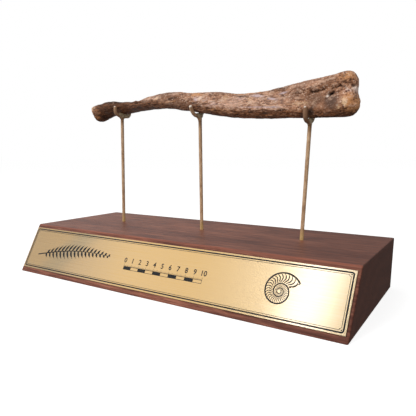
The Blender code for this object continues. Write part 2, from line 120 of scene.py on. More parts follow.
BONE_STAINS = {
    "calm": (
        ((136, 188), (14, 8), 0, 0.8),
        ((150, 188), (9, 10), 0, 0.9),
        ((-120, 198), (34, 14), 0, 1.0),
        ((-160, 196), (10, 14), 0, 0.7),
        ((104, 190), (12, 4), 0, 0.5),
    ),
    "umber": (
        ((-22, 199), (22, 9), -8, 1.0),
        ((-38, 207), (14, 6), 0, 0.9),
        ((122, 206), (18, 4), 14, 0.6),
        ((148, 206), (12, 5), 14, 0.7),
        ((151, 187), (10, 9), 0, 0.85),
        ((134, 191), (12, 9), 0, 0.85),
        ((100, 204), (16, 3.4), 8, 0.85),
        ((8, 194.5), (14, 3.5), 0, 0.7),
        ((154, 189), (5, 8), 0, 0.5),
        ((33, 203), (26, 3.5), 0, 0.6),
        ((30, 198), (6, 3), -20, 0.5),
        ((118, 199), (7, 4), 0, 0.7),
        ((66, 200.6), (8, 2.4), 0, 0.4),
    ),
    # Dark marks, and painted shade over the narrow end, under broken edges and beside the right rod's finger
    "soot": (
        ((-118, 207.6), (32, 4.8), 0, 1.15),
        ((-148, 206), (8, 5), 0, 0.8),
        ((-126, 200), (24, 9), 0, 0.6),
        ((-131, 206.4), (6, 1.6), 4, 1.0),
        ((-86.5, 202.4), (4, 1.0), -12, 0.8),
        ((-31, 202.4), (5, 2.0), -20, 0.8),
        ((-21, 203.6), (3, 1.2), 10, 0.7),
        ((128, 195.0), (5, 1.2), 10, 0.5),
        ((162.4, 204.6), (4, 1.6), 30, 0.8),
        ((-120, 190), (20, 3.5), 8, 0.5),
        ((-139, 197), (12, 8), 0, 0.7),
        ((-146, 189), (8, 5), 0, 0.8),
        ((74, 200.6), (5, 1.4), -6, 0.5),
        ((99, 203.2), (4, 1.4), 10, 0.6),
        ((104, 196.4), (3, 1.2), 0, 0.5),
        ((120, 201.2), (6, 1.3), -6, 0.55),
        ((132, 180.5), (3.2, 4.6), 0, 1.0),
        ((170.4, 186.4), (1.3, 1.0), 0, 0.75),
        ((168.8, 183.6), (1.1, 0.8), 0, 0.7),
        ((172.6, 189.4), (1.0, 1.0), 0, 0.7),
        ((167.4, 190.2), (0.9, 0.8), 0, 0.6),
    ),
    # Cream stains, and a painted highlight on the lower knob
    "cream": (
        ((-159, 201), (3, 4.5), 0, 0.5),
        ((164.4, 186.2), (2.2, 4.2), 12, 1.1),
        ((159.5, 182.4), (2.4, 1.8), 0, 0.5),
        ((166, 210.6), (5, 1.8), 10, 0.4),
        ((120, 188.4), (12, 2.0), 0, 0.5),
        ((-50.4, 204.2), (3.0, 1.8), 10, 0.7),
        ((66, 197), (7, 3), -10, 0.4),
        ((40, 199), (5, 2.4), 0, 0.5),
    ),
    "pale": (
        ((24, 199), (14, 5), 0, 0.25),
        ((50, 193.0), (14, 6), 0, 1.0),
        ((76, 194), (18, 6), 0, 0.5),
        ((70, 199.4), (9, 2.6), -4, 0.8),
        ((98, 193), (18, 8), 0, 0.45),
        ((6, 201), (5, 4), 0, 0.6),
        ((122, 205), (20, 5), 14, 0.45),
        ((130, 190), (8, 5), 0, 0.3),
        ((-60, 205), (16, 3), 12, 0.25),
        ((172, 197.5), (4, 3), 0, 0.6),
    ),
    "ochre": (
        ((-163, 199), (3.5, 7), 0, 0.8),
        ((-155, 190), (4, 3), 0, 0.6),
        ((4, 205.6), (8, 2.4), 0, 1.0),
        ((9.6, 202), (1.6, 3.5), -10, 0.8),
        ((165, 209), (9, 5), 0, 0.7),
        ((167.5, 187.5), (5, 7), 0, 1.0),
        ((176, 185), (5, 9), 0, 1.0),
        ((170, 181), (8, 4), 0, 0.6),
        ((86, 195.2), (1.8, 1.2), 0, 0.8),
        ((-50.4, 204.2), (3.4, 2.2), 10, 0.35),
        ((64, 202.4), (30, 1.4), 0, 0.7),
        ((-30, 199.6), (16, 1.0), 0, 0.6),
        ((125, 190.5), (12, 3.0), 0, 0.35),
        ((40, 194), (16, 5), 0, 0.3),
        ((27, 187.2), (15, 3.2), 0, 0.5),
        ((137, 203), (16, 4), 12, 0.3),
    ),
    # Lilac tone, and painted sheen in streaks along the upper shaft and head
    "lilac": (
        ((5, 199.6), (4, 3), 0, 0.7),
        ((17, 198.6), (6, 3), 0, 0.3),
        ((-29, 207.5), (5, 1.8), 0, 0.35),
        ((76, 198.6), (7, 1.5), -8, 1.15),
        ((92, 194.4), (6.5, 1.2), -6, 1.1),
        ((104.5, 199.2), (4.5, 1.1), 8, 1.0),
        ((85, 187.0), (26, 0.9), -3, 0.75),
        ((58, 197), (8, 2.0), 0, 0.45),
        ((172, 197), (3.5, 3), 0, 0.5),
        ((30, 193), (14, 3.4), 0, 0.4),
        ((166, 196.6), (5, 2.2), 0, 0.4),
    ),
    "slate": (
        ((-156, 205.5), (4, 4), 0, 0.55),
        ((105, 203.4), (5, 1.4), 12, 0.7),
        ((120, 192.0), (6, 1.0), 0, 0.7),
        ((116, 194.6), (9, 3.2), 0, 0.6),
        ((61, 199.0), (13, 1.4), -4, 0.75),
        ((95, 203.6), (12, 1.4), 5, 0.6),
        ((45, 197.6), (6, 2.0), -10, 0.4),
        ((151, 189), (8, 9), 0, 1.05),
        ((152, 197), (8, 3), 10, 0.6),
        ((159, 205), (4, 3), 20, 0.4),
        ((137, 191), (14, 7), 0, 0.5),
        ((169.5, 185), (3.5, 4.5), 0, 0.45),
        ((161.6, 208.8), (3, 1.6), 0, 0.6),
        ((-28, 203.6), (5, 3), 0, 0.45),
        ((118, 199), (7, 5), 0, 0.4),
        ((150, 206), (8, 4), 0, 0.25),
    ),
    # Bleached tone, and painted highlights in the notch between the knobs and on the lip of the deep pit
    "bleach": (
        ((-62, 205), (14, 2.4), 12, 0.35),
        ((9.0, 200.4), (4, 2.4), 0, 0.75),
        ((32, 196), (12, 3), 0, 0.25),
        ((147.6, 193.2), (1.8, 1.1), 30, 1.2),
        ((171.8, 198.4), (3.6, 2.4), 0, 0.75),
        ((-157, 202), (3, 4), 0, 0.3),
        ((-162, 198), (3.5, 7), 0, 0.2),
        ((165, 198.6), (4, 0.8), -30, 0.6),
        ((144, 205), (14, 3.5), 14, 0.2),
        ((84, 196), (18, 2.0), -6, 0.3),
    ),
}

# Where the painted shade of the underside begins, as (x, z)
BONE_SHADE_LINE = (
    (-95, 216.0), (-90, 212.0), (-88, 205.4), (-80, 205.4), (-64, 203.6), (-54, 202.6), (-44, 201.6), (-37, 200.6),
    (-31, 199.4), (-12, 197.6), (4, 197.0), (16, 190.6), (28, 188.6), (58, 185.8), (76, 183.8), (102, 183.0),
    (124, 183.2), (150, 183.2), (176, 180.0),
)

# Armature rods as the model has them, in millimetres: foot (x, y) on the base, joint (x, y, z),
# finger and prong from the joint to their tips as (y, z), radius at the finger's tip,
# reach of its polished spot with a painted highlight, browning of the finger, and the lumps of solder as (y, z) and
# half sizes
BASE_HEIGHT = 54.8
ROD_RADIUS = 2.0
ROD_BURIED = 14.0
ROD_SIDES = 28
ROD_STEP = 1.2
ROD_FACE = 0.30
ROD_SOFTENING = 5
WEB_HALF_BREADTH = 2.35
WEB_ROUNDNESS = 0.7
ARMATURES = {
    "mount_rod_left": {
        "foot": (-125.0, 20.5),
        "joint": (-119.5, 20.6, 186.0),
        "finger": ((18.4, 188.4), (14.8, 190.2), (11.3, 191.5), (9.6, 193.2), (9.1, 195.8), (9.3, 199.4)),
        "prong": ((22.6, 188.4), (27.2, 189.4), (31.6, 190.0), (33.9, 192.4), (34.2, 195.6)),
        "finger_radius": 2.0,
        "bright_tip": 1.4,
        "finger_brown": 0.45,
        "webs": ((24.2, 190.0, 7.4, 2.6), (18.0, 190.9, 4.2, 2.5), (29.0, 190.9, 3.8, 1.9)),
    },
    "mount_rod_middle": {
        "foot": (0.0, 21.5),
        "joint": (-0.3, 21.0, 177.5),
        "finger": ((19.2, 181.2), (15.6, 183.4), (11.6, 184.0), (7.8, 185.8), (5.0, 188.8), (3.2, 192.2)),
        "prong": ((21.2, 181.0), (22.2, 184.0), (25.0, 187.0), (27.8, 190.6), (29.0, 195.0)),
        "finger_radius": 2.0,
        "bright_tip": 2.6,
        "finger_brown": 0.2,
        "webs": ((17.8, 184.4, 5.6, 2.3), (22.0, 185.0, 3.0, 3.2)),
    },
    "mount_rod_right": {
        "foot": (123.8, 22.0),
        "joint": (128.3, 20.6, 168.0),
        "finger": ((18.8, 170.4), (14.8, 171.8), (10.8, 172.6), (8.2, 174.6), (7.2, 178.4), (7.3, 183.4)),
        "prong": ((21.8, 170.8), (24.4, 172.4), (27.8, 174.6), (29.6, 178.8), (29.8, 183.6)),
        "finger_radius": 2.3,
        "bright_tip": 1.5,
        "finger_brown": 1.0,
        "webs": ((19.8, 172.9, 5.2, 2.1), (23.0, 173.4, 2.3, 2.4)),
    },
}

# Slanted front of the base and the plate on it
FRONT_FOOT = -83.5
FRONT_SETBACK = 31.4
PLATE_RISE = 32.3
PLATE_LIFT = 1.3
PLATE_HALF = (200.25, 26.25)
INLAY_LIFT = 0.03

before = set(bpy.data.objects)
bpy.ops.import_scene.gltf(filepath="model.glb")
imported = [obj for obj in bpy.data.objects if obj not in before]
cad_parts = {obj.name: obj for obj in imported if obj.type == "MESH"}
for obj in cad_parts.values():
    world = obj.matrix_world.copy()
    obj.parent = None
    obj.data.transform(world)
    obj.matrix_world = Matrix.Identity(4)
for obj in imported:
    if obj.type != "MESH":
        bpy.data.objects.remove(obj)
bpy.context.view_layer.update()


class Level:
    """A value that varies over a surface. Sums and products of it add Math nodes to its finish."""

    def __init__(self, finish, socket):
        self.finish = finish
        self.socket = socket

    def math(self, operation, first, second=0.0):
        return self.finish.add("ShaderNodeMath", {"operation": operation}, {0: first, 1: second})

    def __add__(self, other):
        return self.math("ADD", self, other)

    __radd__ = __add__

    def __sub__(self, other):
        return self.math("SUBTRACT", self, other)

    def __rsub__(self, other):
        return self.math("SUBTRACT", other, self)

    def __mul__(self, other):
        return self.math("MULTIPLY", self, other)

    __rmul__ = __mul__

    def __truediv__(self, other):
        return self.math("DIVIDE", self, other)

    def __pow__(self, other):
        return self.math("POWER", self, other)

    def over(self, low, high):
        """Rises smoothly from 0 at low to 1 at high."""
        settings = {"interpolation_type": "SMOOTHSTEP"}
        return self.finish.add("ShaderNodeMapRange", settings, {0: self, 1: low, 2: high})

    def peak(self, other):
        """The larger of two values."""
        return self.math("MAXIMUM", self, other)


class Finish:
    """A material under construction, and the nodes that paint it."""

    def __init__(self, owner, shader, constants):
        owner.use_nodes = True
        self.owner = owner
        self.tree = owner.node_tree
        self.shader = self.tree.nodes[shader]
        self.set(self.shader, constants)

    def set(self, node, inputs):
        for key, value in inputs.items():
            if isinstance(value, Level):
                self.tree.links.new(value.socket, node.inputs[key])
            else:
                node.inputs[key].default_value = value

    def add(self, kind, settings, inputs, output=0):
        """One node of a type, with its settings and then its sockets; returns one of its outputs."""
        node = self.tree.nodes.new(kind)
        for key, value in settings.items():
            if key == "stops":
                ramp = node.color_ramp.elements
                while len(ramp) < len(value):
                    ramp.new(0.5)
                for stop, (place, colour) in zip(ramp, value):
                    stop.position = place
                    stop.color = colour
            else:
                setattr(node, key, value)
        self.set(node, inputs)
        return Level(self, node.outputs[output])

    def place(self, scale=(1, 1, 1), shift=(0, 0, 0)):
        """The place on the object in millimetres, scaled each way."""
        where = self.add("ShaderNodeTexCoord", {}, {}, "Object")
        factors = [1000 * value for value in scale]
        return self.add("ShaderNodeVectorMath", {"operation": "MULTIPLY_ADD"}, {0: where, 1: factors, 2: shift})

    def axes(self):
        """The place on the object in millimetres, as three values."""
        split = self.tree.nodes.new("ShaderNodeSeparateXYZ")
        self.set(split, {0: self.place()})
        return [Level(self, output) for output in split.outputs]

    def mottle(self, scale, detail=3.0, roughness=0.5, distortion=0.0, shift=(0, 0, 0)):
        """Noise from 0 to 1 with so many waves to the millimetre each way."""
        inputs = {"Vector": self.place(scale, shift), "Scale": 1.0, "Detail": detail,
                  "Roughness": roughness, "Distortion": distortion}
        return self.add("ShaderNodeTexNoise", {}, inputs)

    def cells(self, scale):
        """Distance to the nearest of many scattered points."""
        return self.add("ShaderNodeTexVoronoi", {}, {"Vector": self.place(scale), "Scale": 1.0}, "Distance")

    def painted(self, name):
        """A value that the mesh carries."""
        return self.add("ShaderNodeAttribute", {"attribute_name": name}, {}, "Fac")

    def mix(self, factor, first, second, blend="MIX"):
        settings = {"data_type": "RGBA", "blend_type": blend, "clamp_factor": True}
        return self.add("ShaderNodeMix", settings, {0: factor, 6: first, 7: second}, 2)

    def ramp(self, value, *stops):
        return self.add("ShaderNodeValToRGB", {"stops": stops}, {0: value})

    def bump(self, height, strength, distance):
        inputs = {"Strength": strength, "Distance": distance * MM, "Height": height}
        return self.add("ShaderNodeBump", {}, inputs, "Normal")

    def finish(self, inputs):
        self.set(self.shader, inputs)
        return self.owner


def new_finish(name, constants):
    return Finish(bpy.data.materials.new(name), "Principled BSDF", constants)


def tint(red, green, blue):
    """A colour as a screen shows it, 0 to 255, for a shader."""
    parts = [value / 255 for value in (red, green, blue)]
    return (*[part / 12.92 if part <= 0.04045 else ((part + 0.055) / 1.055) ** 2.4 for part in parts], 1.0)


def fossil_finish():
    """Brown permineralised bone with stains from the rock, painted shade on its underside and in its pits, and painted
    highlights and sheen.
    """
    finish = new_finish("fossil_bone", {"Specular IOR Level": 0.45})
    streaks = finish.mottle((0.13, 0.62, 0.62), 5, 0.7, 0.5)
    blotches = finish.mottle((0.10, 0.17, 0.17), 4, 0.62, 0.8)
    shaft = finish.painted("shaft")
    flakes = finish.mottle((0.17, 0.66, 0.66), 3, 0.7)
    crumbs = finish.mottle((0.46, 0.62, 0.62), 3, 0.7)
    grit = flakes * shaft + crumbs * (1 - shaft)
    grit = 0.5 + (grit - 0.5) * (1.15 - finish.painted("calm") * 0.8)
    grain = (streaks * 0.42 - grit * 0.1) * shaft + blotches * 0.22 + grit * 0.46 - (1 - shaft) * -0.16
    colour = finish.ramp(
        grain,
        (0.42, tint(72, 45, 32)),
        (0.47, tint(132, 88, 61)),
        (0.52, tint(183, 130, 97)),
        (0.585, tint(236, 198, 170)),
    )
    pale = finish.painted("pale")
    colour = finish.mix(pale * (0.25 + grit * 0.5), colour, tint(226, 186, 166))
    # Painted shade: a darker copy of the colour over the underside and on faces turned down
    shade = finish.painted("shade")
    dark = finish.ramp(
        0.5 + (streaks * 0.55 + blotches * 0.25 + grit * 0.20 - 0.5) * (1 - finish.painted("calm") * 0.35),
        (0.42, tint(58, 35, 20)),
        (0.50, tint(106, 65, 38)),
        (0.60, tint(168, 108, 66)),
    )
    colour = finish.mix(shade, colour, dark)
    # Stains by tint; the darkest also paints shade, the lilac one a sheen, the cream and bleached ones highlights
    for name, strength, stain in (
        ("umber", 0.78, tint(116, 80, 58)),
        ("soot", 0.85, tint(46, 31, 24)),
        ("slate", 0.72, tint(84, 64, 55)),
        ("lilac", 0.80, tint(204, 184, 188)),
        ("ochre", 0.75, tint(214, 150, 96)),
        ("cream", 0.86, tint(238, 200, 158)),
        ("bleach", 0.86, tint(252, 230, 214)),
    ):
        spread = (finish.painted(name) + (grit + blotches - 1.0) * 1.1).over(0.12, 0.95)
        colour = finish.mix(spread * strength, colour, stain)
    # Pale specks and dark flecks, left out where shade is painted
    specks = (1 - finish.cells((0.34, 0.46, 0.46))).over(0.66, 0.84) * (1 - shade.peak(finish.painted("calm")))
    colour = finish.mix(specks * 0.5, colour, tint(244, 214, 194))
    flecks = grit.over(0.57, 0.68) * blotches.over(0.40, 0.58) * (1 - shade)
    colour = finish.mix(flecks * 0.45, colour, tint(72, 48, 38))
    # Painted shade in the hollows, and a near-black painted shadow in the deepest pit
    hollow = finish.painted("hollow")
    colour = finish.mix(hollow * 0.85, colour, tint(56, 38, 29))
    colour = finish.mix(finish.painted("deep"), colour, tint(8, 6, 5))
    # Painted highlight: raised relief lighter outside the painted shade
    crest = finish.painted("crest")
    colour = finish.mix(crest * (1 - shade) * 0.4, colour, tint(224, 186, 160))
    height = streaks * shaft * 0.5 + grit * 0.9
    return finish.finish({
        "Base Color": colour,
        "Roughness": 0.40 + grit * 0.22 + hollow * 0.25 + finish.painted("soot") * 0.35,
        "Normal": finish.bump(height, 1.0, 0.9),
    })


def walnut_finish():
    """Dark oiled wood with its grain along the base and open pores."""
    finish = new_finish("walnut", {"Specular IOR Level": 0.32})
    x, y, z = finish.axes()
    drift = finish.mottle((0.006, 0.03, 0.03), 3, 0.5)
    ripple = finish.mottle((0.012, 0.22, 0.22), 4, 0.6)
    from_heart = ((y - 36.0) ** 2 + (z + 95.0) ** 2) ** 0.5
    rings = from_heart * 0.16 + drift * 4.2 + ripple * 0.9
    bands = rings.math("SINE", rings * 2.2) * 0.5 + 0.5
    pores = finish.mottle((0.04, 0.62, 0.62), 3, 0.6).over(0.54, 0.64)
    threads = finish.mottle((0.020, 0.40, 0.40), 5, 0.74)
    grain = bands * 0.05 + threads * 0.75 + ripple * 0.20
    colour = finish.ramp(
        grain,
        (0.40, tint(84, 44, 32)),
        (0.50, tint(124, 72, 54)),
        (0.60, tint(162, 103, 80)),
    )
    colour = finish.mix(pores * 0.32, colour, tint(64, 34, 26))
    # Painted shade: the wood darkens towards +X, away from the light
    colour = finish.mix(x.over(0, 190) * 0.4, colour, tint(74, 40, 32))
    end = (x * x) ** 0.5
    colour = finish.mix(end.over(202.2, 202.9) * 0.55, colour, tint(66, 40, 31))
    # Lighter reddish line along the top front edge: wear, and a painted highlight where the edge catches the light
    top_edge = ((y - (FRONT_FOOT + FRONT_SETBACK)) ** 2 + (z - BASE_HEIGHT) ** 2) ** 0.5
    worn = 1 - top_edge.over(0.8, 2.6)
    colour = finish.mix(worn * 0.5, colour, tint(158, 96, 78))
    height = threads * 0.6 - pores * 0.9
    return finish.finish({
        "Base Color": colour,
        "Roughness": 0.36 + threads * 0.16,
        "Normal": finish.bump(height, 0.6, 0.2),
    })


def plate_finish():
    """Brass sheet brushed lengthwise under clear lacquer, with painted reflections: a dark band and darker brass at its
    left end, pale glare towards its right end.
    """
    finish = new_finish("plate_brass", {
        "Metallic": 1.0,
        "Coat Weight": 1.0,
        "Coat IOR": 2.4,
        "Coat Roughness": 0.16,
    })
    x, y, z = finish.axes()
    brushed = finish.mottle((0.012, 4.0, 4.0), 4, 0.7)
    scratches = finish.mottle((0.05, 9.0, 9.0), 2, 0.6, shift=(7, 3, 1))
    reflection_mottle = finish.mottle((0.022, 0.04, 0.04), 3, 0.55, 0.5)
    # Painted reflection: a dark diagonal band near the left end
    across = x - z * 1.1 + 162
    dark_reflection_band = (1 - (across * across).math("SQRT", across * across).over(2, 32)) * (reflection_mottle * 0.8 + 0.55)
    # Painted reflection: darker brass towards the left end
    colour = finish.mix(1 - x.over(-130, -20), tint(222, 171, 68), tint(190, 145, 62))
    # Painted reflection: paler brass towards the right end, where the glare falls
    colour = finish.mix(x.over(40, 170) * 0.55, colour, tint(232, 222, 196))
    colour = finish.mix(dark_reflection_band * 0.75, colour, tint(156, 130, 72))
    colour = finish.mix(brushed.over(0.35, 0.65) * 0.4, colour, tint(228, 188, 112))
    return finish.finish({
        "Base Color": colour,
        "Roughness": 0.25 + brushed * 0.14 + dark_reflection_band * 0.05,
        "Normal": finish.bump(brushed + scratches * 0.5, 0.25, 0.05),
    })


def rod_finish():
    """Dull brass rod, browned by handling, with pitted olive solder at the joint."""
    finish = new_finish("rod_brass", {})
    solder = finish.painted("solder")
    tip = finish.painted("tip")
    film = finish.mottle((0.5, 0.5, 0.12), 4, 0.6)
    spots = finish.mottle((1.1, 1.1, 1.1), 4, 0.7)
    colour = finish.ramp(
        film,
        (0.36, tint(168, 132, 100)),
        (0.50, tint(198, 160, 124)),
        (0.64, tint(220, 186, 150)),
    )
    crust = finish.ramp(
        spots,
        (0.40, tint(70, 54, 38)),
        (0.49, tint(158, 136, 102)),
        (0.58, tint(226, 210, 178)),
    )
    x, y, z = finish.axes()
    colour = finish.mix((1 - z.over(57, 70)) * 0.65, colour, tint(204, 174, 108))
    colour = finish.mix(solder, colour, crust)
    colour = finish.mix(finish.painted("brown"), colour, tint(142, 106, 80))
    # Browner band on the rod just under the joint
    colour = finish.mix(finish.painted("scorch") * (0.3 + film), colour, tint(112, 76, 46))
    # Polished finger tip with a painted highlight
    colour = finish.mix(tip * 0.85, colour, tint(250, 238, 226))
    return finish.finish({
        "Base Color": colour,
        "Metallic": 0.24 - solder * 0.14,
        "Roughness": 0.40 + film * 0.16 + solder * 0.14,
        "Normal": finish.bump(spots * (0.25 + solder), 0.5, 0.25),
    })


def ink_finish():
    """Black filler in the engraving, worn thin in places."""
    finish = new_finish("engraving_black", {"Specular IOR Level": 0.25})
    wear = finish.mottle((0.8, 0.8, 0.8), 3, 0.6)
    colour = finish.ramp(wear, (0.35, tint(24, 26, 28)), (0.7, tint(52, 52, 50)))
    return finish.finish({"Base Color": colour, "Roughness": 0.45 + wear * 0.2})


def floor_finish():
    """Plain pale floor that glows a little, so that its shadows stay light."""
    finish = new_finish("floor", {
        "Base Color": (0.5, 0.5, 0.5, 1),
        "Roughness": 0.9,
        "Specular IOR Level": 0.0,
        "Emission Color": (1, 1, 1, 1),
        "Emission Strength": 0.78,
    })
    return finish.owner


def backdrop_finish():
    """Plain white paper behind the object."""
    finish = new_finish("backdrop", {
        "Base Color": (0, 0, 0, 1),
        "Specular IOR Level": 0.0,
        "Emission Color": (1, 1, 1, 1),
        "Emission Strength": 1.0,
    })
    return finish.owner


def link_object(name, mesh, finish=None):
    item = bpy.data.objects.new(name, mesh)
    bpy.context.scene.collection.objects.link(item)
    if finish:
        mesh.materials.clear()
        mesh.materials.append(finish)
    return item


def shape_object(name, shape, finish=None):
    mesh = bpy.data.meshes.new(name)
    shape.to_mesh(mesh)
    shape.free()
    return link_object(name, mesh, finish)


def apply_modifiers(item):
    bpy.context.view_layer.update()
    seen = item.evaluated_get(bpy.context.evaluated_depsgraph_get())
    mesh = bpy.data.meshes.new_from_object(seen)
    item.modifiers.clear()
    item.data = mesh


def even_faces(item, size, softening):
    """Rebuild a closed form in small even faces and soften it."""
    shape = bmesh.new()
    shape.from_mesh(item.data)
    bmesh.ops.remove_doubles(shape, verts=shape.verts, dist=0.01 * MM)
    shape.to_mesh(item.data)
    shape.free()
    remesh = item.modifiers.new("Even", "REMESH")
    remesh.mode = "VOXEL"
    remesh.voxel_size = size * MM
    smooth = item.modifiers.new("Soften", "SMOOTH")
    smooth.factor = 0.5
    smooth.iterations = softening
    apply_modifiers(item)


def read_points(item, what="co"):
    """Places or normals of a mesh's points, places in millimetres."""
    values = np.empty(len(item.data.vertices) * 3)
    item.data.vertices.foreach_get(what, values)
    return values.reshape(-1, 3) / (MM if what == "co" else 1)


def write_points(item, points):
    item.data.vertices.foreach_set("co", (points * MM).ravel())
    item.data.update()


def paint(item, name, values):
    """Let the mesh carry a value from 0 to 1 at each of its points."""
    layer = item.data.attributes.new(name, "FLOAT", "POINT")
    layer.data.foreach_set("value", np.clip(values, 0, 1).astype(np.float32))


def unevenness(points, size, start=0.0):
    """Smooth noise, about -1 to 1, with waves of so many millimetres each way."""
    return np.array([noise.noise(Vector(place)) for place in points / np.array(size) + start])


def side_of_line(x, z, line):
    """Distance in the side view to a broken line that runs along +X, positive above it."""
    nearest = np.full(x.shape, np.inf)
    above = np.ones(x.shape)
    for (x0, z0), (x1, z1) in zip(line, line[1:]):
        run_x, run_z = x1 - x0, z1 - z0
        share = np.clip(((x - x0) * run_x + (z - z0) * run_z) / (run_x ** 2 + run_z ** 2), 0, 1)
        off_x, off_z = x - x0 - share * run_x, z - z0 - share * run_z
        away = np.hypot(off_x, off_z)
        closer = away < nearest
        nearest = np.where(closer, away, nearest)
        above = np.where(closer, np.sign(run_x * off_z - run_z * off_x), above)
    return nearest * above


def patch(x, z, place, reach, tilt):
    """A soft oval, 1 at its middle."""
    turn = math.radians(tilt)
    off_x, off_z = x - place[0], z - place[1]
    along = (off_x * math.cos(turn) + off_z * math.sin(turn)) / reach[0]
    across = (off_z * math.cos(turn) - off_x * math.sin(turn)) / reach[1]
    return np.exp(-(along ** 2 + across ** 2))


def smooth_step(values, low, high):
    share = np.clip((values - low) / (high - low), 0, 1)
    return share * share * (3 - 2 * share)


def bone_detail(points, normals):
    """Height in millimetres of the bone's fibres, flakes, broken edges and pits."""
    x = points[:, 0] + unevenness(points, (3.4, 3.4, 3.4), 11.0) + unevenness(points, (1.3, 1.3, 1.3), 5.0) * 0.5
    z = points[:, 2] + unevenness(points, (3.6, 3.6, 3.6), 31.0) * 1.1 + unevenness(points, (1.5, 1.5, 1.5), 37.0) * 0.6
    front = np.clip(-normals[:, 1] * 2.2 + 0.2, 0, 1)
    shaft = shaft_share(points)
    crumbs = unevenness(points, (1.5, 1.5, 1.5), 7.0)
    detail = unevenness(points, (13, 1.9, 1.9)) * 0.22 * shaft
    detail += unevenness(points, (5, 1.2, 1.2), 3.0) * 0.12 * shaft
    detail += crumbs * (0.08 + 0.10 * (1 - shaft))
    detail += unevenness(points, (4.6, 3.4, 3.4), 29.0) * 0.30 * (1 - 0.6 * shaft)
    flakes = unevenness(points, (10, 4.2, 4.2), 17.0) + unevenness(points, (3, 1.8, 1.8), 23.0) * 0.45
    detail += (smooth_step(flakes, 0.02, 0.10) + smooth_step(flakes, 0.30, 0.36) - 0.7) * 0.26
    patchy = 0.75 + 0.4 * smooth_step(unevenness(points, (2.6, 2.6, 2.6), 53.0), -0.35, 0.25)
    detail *= 0.45 + 0.55 * smooth_step(np.abs(normals[:, 1]), 0.1, 0.65)
    for line, rise, reach, depth, breadth in BONE_BREAKS:
        side = side_of_line(x, z, line)
        lip = rise * np.exp(-np.clip(side, 0, None) / reach) * smooth_step(side, -0.35, 0.35)
        ends = smooth_step(x, line[0][0] - 1.5, line[0][0] + 1.5) * (1 - smooth_step(x, line[-1][0] - 1.5, line[-1][0] + 1.5))
        groove = -depth * patchy * np.exp(-((side + 0.5 * breadth) / breadth) ** 2)
        detail += (lip + groove) * front * ends
    for place, reach, tilt, height in BONE_PITS:
        detail += height * patch(x, z, place, reach, tilt) * front
    return detail


def shaft_share(points):
    """1 along the shaft, where the bone is fibrous, and 0 over its ends."""
    ends = smooth_step(points[:, 0], 96, 122) + 1 - smooth_step(points[:, 0], -156, -146)
    return 1 - 0.85 * ends


def build_bone(finish):
    """The fossil itself, on the form of the model's bone."""
    bone = link_object("fibula_bone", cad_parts["fibula"].data.copy(), finish)
    even_faces(bone, BONE_FACE, BONE_SOFTENING)
    bone.data.materials.clear()
    bone.data.materials.append(finish)
    points = read_points(bone)
    normals = read_points(bone, "normal")
    detail = bone_detail(points, normals)
    near_rod = np.zeros(len(points))
    for armature in ARMATURES.values():
        near_rod = np.maximum(near_rod, np.exp(-((points[:, 0] - armature["joint"][0]) / 5) ** 2))
    limit = 0.5 - 0.42 * near_rod
    detail = np.minimum(detail, limit)
    x, z = points[:, 0], points[:, 2]
    swell = sum(height * patch(x, z, place, reach, 0) for place, reach, height in BONE_SWELLS)
    write_points(bone, points + normals * (detail + swell)[:, None])
    wander = unevenness(points, (5, 3, 3), 41.0) * 1.5 + unevenness(points, (1.8, 1.4, 1.4), 47.0) * 0.8
    line = np.array(BONE_SHADE_LINE)
    below = np.interp(x, line[:, 0], line[:, 1]) - z + wander
    # Painted shade below the line and on faces turned down, weaker by the middle rod
    shade = smooth_step(below, -0.9, 1.3) * 0.92
    shade = np.maximum(shade, smooth_step(-normals[:, 2], 0.35, 0.8) * 0.8)
    shade *= 0.72 + 0.28 * smooth_step(-x, 34, 40) + 0.23 * smooth_step(x, 10, 30)
    paint(bone, "shade", shade)
    paint(bone, "shaft", shaft_share(points))
    # Painted shade in hollows and the deepest pit, and a painted highlight on raised crests
    paint(bone, "hollow", smooth_step(-detail, 0.45, 1.5))
    paint(bone, "deep", smooth_step(-detail, 2.0, 2.9))
    paint(bone, "crest", smooth_step(detail, 0.12, 0.4))
    front = 0.72 + 0.28 * np.clip(-normals[:, 1] * 2 + 0.6, 0, 1)
    for name, patches in BONE_STAINS.items():
        stain = np.zeros(len(points))
        for place, reach, tilt, strength in patches:
            stain = np.maximum(stain, strength * patch(x + wander * 0.5, z + wander * 0.3, place, reach, tilt))
        paint(bone, name, stain * front)
    bone.data.shade_smooth()
    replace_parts(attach(bone, "root"), "fibula")


def smooth_line(points, step):
    """A smooth curve through points, with a place about every step along it."""
    points = np.array(points, dtype=float)
    knots = np.concatenate(((0,), np.cumsum(np.linalg.norm(np.diff(points, axis=0), axis=1))))
    where = np.linspace(0, knots[-1], max(2, round(knots[-1] / step) + 1))
    slopes = np.gradient(points, knots, axis=0)
    index = np.clip(np.searchsorted(knots, where) - 1, 0, len(knots) - 2)
    span = (knots[index + 1] - knots[index])[:, None]
    t = ((where - knots[index]) / span[:, 0])[:, None]
    start = points[index] * (1 + 2 * t) * (1 - t) ** 2 + slopes[index] * span * t * (1 - t) ** 2
    end = points[index + 1] * (3 - 2 * t) * t ** 2 + slopes[index + 1] * span * (t - 1) * t ** 2
    return start + end


